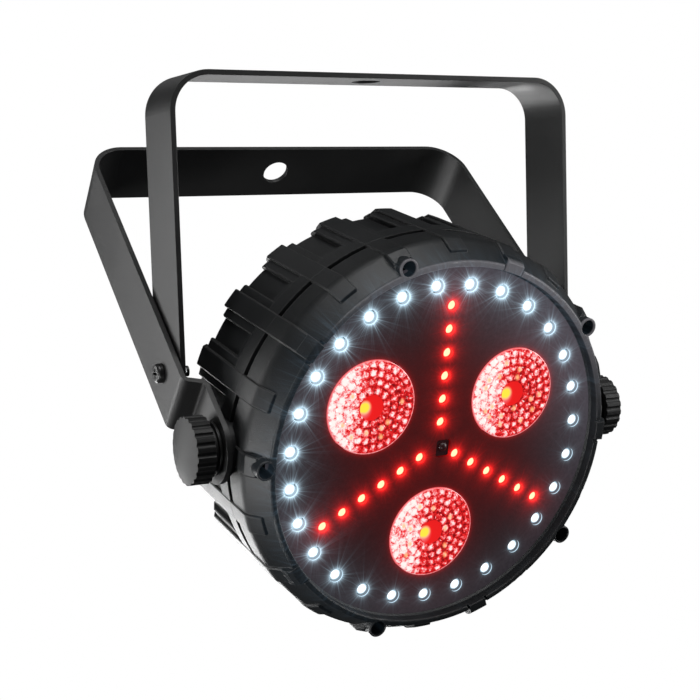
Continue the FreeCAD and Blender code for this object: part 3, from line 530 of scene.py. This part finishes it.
def ring_glare(graph, x, y):
    """White LEDs' rays over a faint even glow, and their halos."""
    weight = upper_left_weight(x, y)
    total = None
    for dx, dy, distance, index in ring_cells(x, y):
        near = (distance - WHITE_WINDOW_R).math("MAXIMUM", 0.0)
        rays = star_rays(graph, dx, dy, distance, index.math("MODULO", float(WHITE_COUNT)) * 3.7, 7.0)
        reach = near.decay(RAY_REACH) * 1.7 + near.decay(LONG_RAY_REACH) * 0.17
        part = (rays * 1.3 + 0.12) * reach * (weight + 0.05)
        part = part + near.decay(HALO_REACH) * (weight * 1.5 + 0.12)
        total = part if total is None else total + part
    return total


def lit_panel():
    """Smoked front panel, with rays and halos round the white LEDs, their lit hole walls and red light."""
    material, graph = new_material("smoked_front_panel")
    x, y, z = graph.head_place()
    where = graph.place()
    radius = (x * x + y * y).math("SQRT")
    # lit walls of the white LEDs' holes, and the glare between them
    wall = None
    for _, _, distance, _ in ring_cells(x, y):
        near_wall = distance.fade(WHITE_HOLE_R + 0.10, WHITE_HOLE_R + 0.03)
        wall = near_wall if wall is None else wall.math("MAXIMUM", near_wall)
    wall = wall * z.fade(PANEL_FRONT_Z - 0.02, PANEL_FRONT_Z - 0.10)
    wall_top = z.fade(PANEL_FRONT_Z - 0.75, PANEL_FRONT_Z - 0.35)
    wall_light = wall_top * 0.95 + upper_left_weight(x, y) * 0.55 + 0.10
    spill = ring_glare(graph, x, y) * (wall * -1.0 + 1.0) + wall * wall_light
    # painted haze of the LEDs' light along the ring, and a painted reflection at the upper right
    haze = (radius * -1.0 + HAZE_RING_R).math("MAXIMUM", 0.0).decay(HAZE_REACH) * RING_HAZE
    haze = haze + (x * 0.72 + y * 0.60).fade(20.0, 85.0) * UPPER_RIGHT_REFLECTION
    # colour rows
    along, across = row_cell(x, y)
    row_distance = (along * along + across * across).math("SQRT").math("MAXIMUM", LEAST_DISTANCE)
    row_rays = star_rays(graph, along, across, row_distance, x * 0.02, 5.0)
    near = (row_distance - ROW_GLARE_R).math("MAXIMUM", 0.0)
    row_reach = near.decay(ROW_RAY_REACH)
    red_light = near.decay(ROW_HALO_REACH) * 1.6 + row_rays * row_reach * 0.8 + row_reach * 0.16
    red_light = red_light + near.decay(ROW_LONG_REACH) * 0.12
    # lenses
    for degrees in LENS_ANGLES:
        turn = math.radians(degrees)
        lens_x = x - LENS_CENTRE_R * math.cos(turn)
        lens_y = y - LENS_CENTRE_R * math.sin(turn)
        edge = ((lens_x * lens_x + lens_y * lens_y).math("SQRT") - LENS_R).math("MAXIMUM", 0.0)
        red_light = red_light + edge.decay(LENS_HALO_REACH) * 0.24 + edge.decay(LENS_LONG_REACH) * 0.045
    speckle = graph.noise(where, 2200.0, 2.0, 0.7)
    mottle = graph.noise(where, 700.0, 2.0) * 0.6 + 0.7
    glow = graph.added(graph.scaled(PANEL_SPILL, spill), graph.scaled(PANEL_HAZE_AND_REFLECTION, haze * mottle),
                       graph.scaled(RED_SPILL, red_light * mottle))
    base = graph.blend(speckle.fade(0.35, 0.7), (0.005, 0.004, 0.005, 1), (0.012, 0.010, 0.011, 1))
    shader = graph.shader("BsdfPrincipled", Base_Color=base, Roughness=speckle * 0.15 + 0.42,
                          Emission_Color=glow, Emission_Strength=1.0, Normal=graph.bump(speckle, 0.00004))
    shader.inputs["Specular IOR Level"].default_value = 0.3
    return material


def lit_lens():
    """Pebbled lens glowing red, with white sparks where a pebble sends the emitter's light to the side."""
    material, graph = new_material("lit_lens")
    where = graph.place()
    spark = Field(graph, attribute(graph, "spark"))
    warm = Field(graph, attribute(graph, "warm"))
    plain = Field(graph, attribute(graph, "plain"))
    cuts = graph.noise(where, 750.0, 3.0, 0.7) * 2.0 - 1.0
    level = spark + cuts * (plain * -1.0 + 1.0)
    ramp = graph.node("ValToRGB", Fac=level.clamped())
    stops = ramp.color_ramp.elements
    stops[0].position, stops[0].color = 0.0, (0.16, 0.002, 0.004, 1)
    stops[1].position, stops[1].color = 0.95, (1.0, 0.94, 0.90, 1)
    for position, colour in ((0.20, (0.50, 0.006, 0.008, 1)), (0.40, (0.82, 0.010, 0.010, 1)),
                             (0.58, (0.88, 0.22, 0.24, 1)), (0.72, (0.96, 0.60, 0.60, 1))):
        stop = stops.new(position)
        stop.color = colour
    yellow = graph.blend(warm.fade(0.50, 0.90), (1.0, 0.55, 0.22, 1), (1.0, 0.83, 0.06, 1))
    colour = graph.blend(warm.fade(0.10, 0.6), Field(graph, ramp.outputs["Color"]), yellow)
    shader = graph.shader("BsdfPrincipled", Base_Color=(0.25, 0.01, 0.01, 1), Roughness=0.14,
                          Emission_Color=colour, Emission_Strength=1.0)
    shader.inputs["Coat Weight"].default_value = 0.2
    return material


def attribute(graph, name):
    node = graph.tree.nodes.new("ShaderNodeAttribute")
    node.attribute_name = name
    return node.outputs["Fac"]


def glowing_emitter():
    """Four-colour LED under a lens, lit amber."""
    material, graph = new_material("lit_emitter")
    speck = graph.noise(graph.place(), 2500.0)
    amber = graph.blend(speck, (1.0, 0.6, 0.1, 1), (1.0, 0.8, 0.25, 1))
    graph.shader("BsdfPrincipled", Base_Color=(0.9, 0.8, 0.4, 1), Roughness=0.3,
                 Emission_Color=amber, Emission_Strength=4.0)
    return material


def make_materials():
    """One material for each slot of the record, and the bezel's, which takes the LEDs' spill."""
    shell = {"base": 0.007, "rough": 0.44, "grain": 2000.0, "depth": 0.00014, "tint": 0.06}
    return {
        "black_steel": coated_steel("black_powder_coat", 0.010, 0.42),
        "black_bolt": coated_steel("black_bolt", 0.010, 0.32),
        "zinc_steel": bare_metal("zinc_plate", (0.60, 0.61, 0.63), 0.30),
        "nylon": moulded_plastic("white_nylon", 0.72, 0.5),
        "knob_plastic": moulded_plastic("knob_plastic", 0.006, 0.50, grain=2400.0, depth=0.00008,
                                        edge=0.0003),
        "black_abs": moulded_plastic("black_abs", **shell),
        "bezel_abs": moulded_plastic("bezel_abs", glare=True, **shell),
        "brass": bare_metal("turned_brass", (0.72, 0.52, 0.22), 0.28),
        "rubber": moulded_plastic("black_rubber", 0.016, 0.8, grain=1800.0),
        "smoked_panel": lit_panel(),
        "white_emitter": white_window(),
        "red_emitter": row_window(),
        "board_black": circuit_board("black_board", (0.015, 0.016, 0.018)),
        "ir_plastic": clear_part("ir_plastic", (0.016, 0.003, 0.004), 0.35, coat=0.0,
                                 glow=(0.012, 0.0018, 0.0022)),
        "aluminium": bare_metal("rolled_aluminium", (0.78, 0.79, 0.81), 0.38, streak=500.0),
        "board_green": circuit_board("green_board", (0.02, 0.13, 0.05)),
        "ferrite": moulded_plastic("dark_components", 0.035, 0.5, grain=3000.0),
        "clear_glass": clear_part("fuse_glass", (0.75, 0.8, 0.8), 0.04),
        "display_segments": moulded_plastic("display_face", 0.02, 0.4),
        "window_acrylic": clear_part("window_acrylic", (0.06, 0.006, 0.008), 0.05, coat=1.0),
        "connector_black": moulded_plastic("connector_nylon", 0.020, 0.4, grain=3200.0, depth=0.00005,
                                           edge=0.0003),
        "gold_pins": bare_metal("gold_plate", (0.86, 0.64, 0.28), 0.2),
        "lens_acrylic": lit_lens(),
        "colour_emitter": glowing_emitter(),
        "button_plastic": moulded_plastic("button_plastic", 0.05, 0.45, grain=2800.0, depth=0.00006),
    }


# ---- pieces --------------------------------------------------------------------------------------

SMOOTH_ANGLE = math.radians(28)


def finish_cad_nodes(materials):
    """Every CAD node gets its slot's material and smooth curved faces with crisp corners.

    Two looks differ from their slots: the bezel takes the LEDs' spill and the knob washers are blackened.
    """
    slots = {row["node"]: row["material_slot"] for row in frame["record"]["subparts"]}
    slots["front_housing"] = "bezel_abs"
    slots["knob_washer_left"] = slots["knob_washer_right"] = "black_bolt"
    for name, node in NODES.items():
        node.data.materials.clear()
        node.data.materials.append(materials[slots[name]])
        node.data.shade_smooth()
        node.data.set_sharp_from_angle(angle=SMOOTH_ANGLE)


PEBBLE_PITCH = 3.9
PEBBLE_ARC = 3.9
PEBBLE_START = 5.8
PEBBLE_RISE = 0.7
LENS_RIM = 0.55
LENS_FACE_Z = LENS_FRONT_Z - 0.45         # the pebbles stand on this level
LENS_RINGS, LENS_SPOKES = 72, 256
LENS_BODY = ((LENS_R, 1.2), (LENS_R, -4.0), (7.0, -19.0), (4.6, -19.0), (4.0, -14.0), (0.02, -13.0))
CHIP_SHIFT = -3.4                         # the emitter shows to the left of the lens's flat centre
DARK_CHANCE, YELLOW_CHANCE = 0.80, 0.84   # a pebble is dark, or yellow, above these draws
YELLOW_RINGS = 3                          # only the inner rings have yellow pebbles
WAVER = 0.30                              # how far the rings of pebbles leave true circles

# glow of a lens, from 0, dark red, to 1, white
RIM_GLOW, CENTRE_GLOW, MOUNT_GLOW, BODY_GLOW = 0.60, 0.37, 0.26, 0.5
PEBBLE_GLOW, LEFT_GLOW, TOP_GLOW = 0.34, 0.54, 0.16
SPARK_LEAST, SPARK_SPREAD = 0.16, 0.50
GROOVE_SHADE, DARK_SHADE = 0.26, 0.55


def scatter(ring, index, salt):
    """A repeatable number from 0 to 1 for one pebble."""
    value = math.sin(ring * 127.1 + index * 311.7 + salt * 74.7) * 43758.5453
    return value - math.floor(value)


def spot(x, y, centre_x, centre_y, size_x, size_y):
    """1 at a point, falling to 0 about one size away."""
    return math.exp(-((x - centre_x) / size_x) ** 2 - ((y - centre_y) / size_y) ** 2)


def step_up(value, start, end):
    """Smooth step from 0 to 1."""
    share = max(0.0, min(1.0, (value - start) / (end - start)))
    return share * share * (3 - 2 * share)


def lens_centre_sample(x, y):
    """The flat middle: plain red, with the emitter's chip and its pink mount showing through."""
    chip = spot(x, y, CHIP_SHIFT, 0.3, 2.2, 2.4) + 0.6 * spot(x, y, CHIP_SHIFT - 2.6, 0.1, 1.3, 1.8)
    mount = spot(x, y, CHIP_SHIFT - 0.8, -0.9, 3.2, 3.4)
    return CENTRE_GLOW + MOUNT_GLOW * mount, min(1.0, 1.6 * chip)


def lens_sample(radius, angle, seed):
    """Height of the lens face, its glow, how yellow it is and how plain, at one point."""
    x, y = radius * math.cos(angle), radius * math.sin(angle)
    crown = LENS_CROWN * 0.3 * (1 - (radius / LENS_R) ** 2)
    if radius > LENS_R - LENS_RIM:
        return crown, RIM_GLOW, 0.0, 0.8
    if radius < PEBBLE_START:
        glow, warm = lens_centre_sample(x, y)
        return crown, glow, warm, 1.0
    waver = WAVER * math.sin(5 * angle + 2.0 * seed) * step_up(radius, PEBBLE_START, LENS_R - 3.0)
    ring = int(max(0.0, radius + waver - PEBBLE_START) / PEBBLE_PITCH)
    middle = PEBBLE_START + (ring + 0.5) * PEBBLE_PITCH
    count = round(2 * math.pi * middle / PEBBLE_ARC)
    place = angle / (2 * math.pi / count) + 0.5 * (ring % 2) + 0.15 * seed
    index = math.floor(place) % count
    across = max(-1.0, min(1.0, (radius + waver - middle) / (PEBBLE_PITCH / 2)))
    along = (place - math.floor(place)) * 2 - 1
    height = (1 - across * across) * (1 - along * along)
    side_x = across * math.cos(angle) - along * math.sin(angle)
    side_y = across * math.sin(angle) + along * math.cos(angle)
    left, top = step_up(-x / LENS_R, 0.0, 0.55), step_up(y / LENS_R, 0.35, 0.95)
    lit_side = spot(side_x, side_y, -0.22, 0.12, 0.62, 0.80)
    spark = lit_side * (SPARK_LEAST + SPARK_SPREAD * scatter(ring, index, seed)) * (1 - 0.35 * left)
    is_dark = scatter(ring, index, seed + 9.0) > DARK_CHANCE
    is_yellow = ring < YELLOW_RINGS and scatter(ring, index, seed + 5.0) > YELLOW_CHANCE
    glow = PEBBLE_GLOW + LEFT_GLOW * left + TOP_GLOW * top + spark
    glow -= GROOVE_SHADE * (1 - height) + DARK_SHADE * left * is_dark * height
    yellow = 0.9 * lit_side if is_yellow else 0.0
    return crown + height * PEBBLE_RISE, max(0.0, glow), 0.55 * yellow, 0.0


def make_lens(name, degrees, seed, material):
    """Lens with its pebbled front, standing for the plain CAD lens."""
    centre_x = LENS_CENTRE_R * math.cos(math.radians(degrees))
    centre_y = LENS_CENTRE_R * math.sin(math.radians(degrees))
    profile = [(LENS_R * ring / LENS_RINGS, None) for ring in range(LENS_RINGS + 1)]
    profile.extend(LENS_BODY)
    points, sparks, warms, plains, faces = [], [], [], [], []
    for radius, depth in profile:
        for spoke in range(LENS_SPOKES):
            turn = 2 * math.pi * spoke / LENS_SPOKES
            if depth is None:
                height, spark, warm, plain = lens_sample(radius, turn, seed)
                level = LENS_FACE_Z + height
            else:
                level, spark, warm, plain = depth, BODY_GLOW, 0.0, 1.0
            x, y = centre_x + radius * math.cos(turn), centre_y + radius * math.sin(turn)
            points.append(head_point(x, y, level))
            sparks.append(spark)
            warms.append(warm)
            plains.append(plain)
    for row in range(len(profile) - 1):
        for spoke in range(LENS_SPOKES):
            a = row * LENS_SPOKES + spoke
            b = row * LENS_SPOKES + (spoke + 1) % LENS_SPOKES
            faces.append((a, a + LENS_SPOKES, b + LENS_SPOKES, b))
    mesh = bpy.data.meshes.new("lens_glass_" + name)
    mesh.from_pydata(points, [], faces)
    for label, values in (("spark", sparks), ("warm", warms), ("plain", plains)):
        mesh.attributes.new(label, "FLOAT", "POINT").data.foreach_set("value", values)
    mesh.materials.append(material)
    mesh.shade_smooth()
    piece = bpy.data.objects.new("lens_glass_" + name, mesh)
    bpy.context.scene.collection.objects.link(piece)
    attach(piece, "head")
    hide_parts("lens_" + name)


# ---- put it together -----------------------------------------------------------------------------

bpy.context.scene.view_settings.view_transform = "Standard"
make_camera()
make_studio()
MATERIALS = make_materials()
finish_cad_nodes(MATERIALS)
for seed, (label, degrees) in enumerate(zip(LENS_NAMES, LENS_ANGLES)):
    make_lens(label, degrees, seed, MATERIALS["lens_acrylic"])
make_floor()
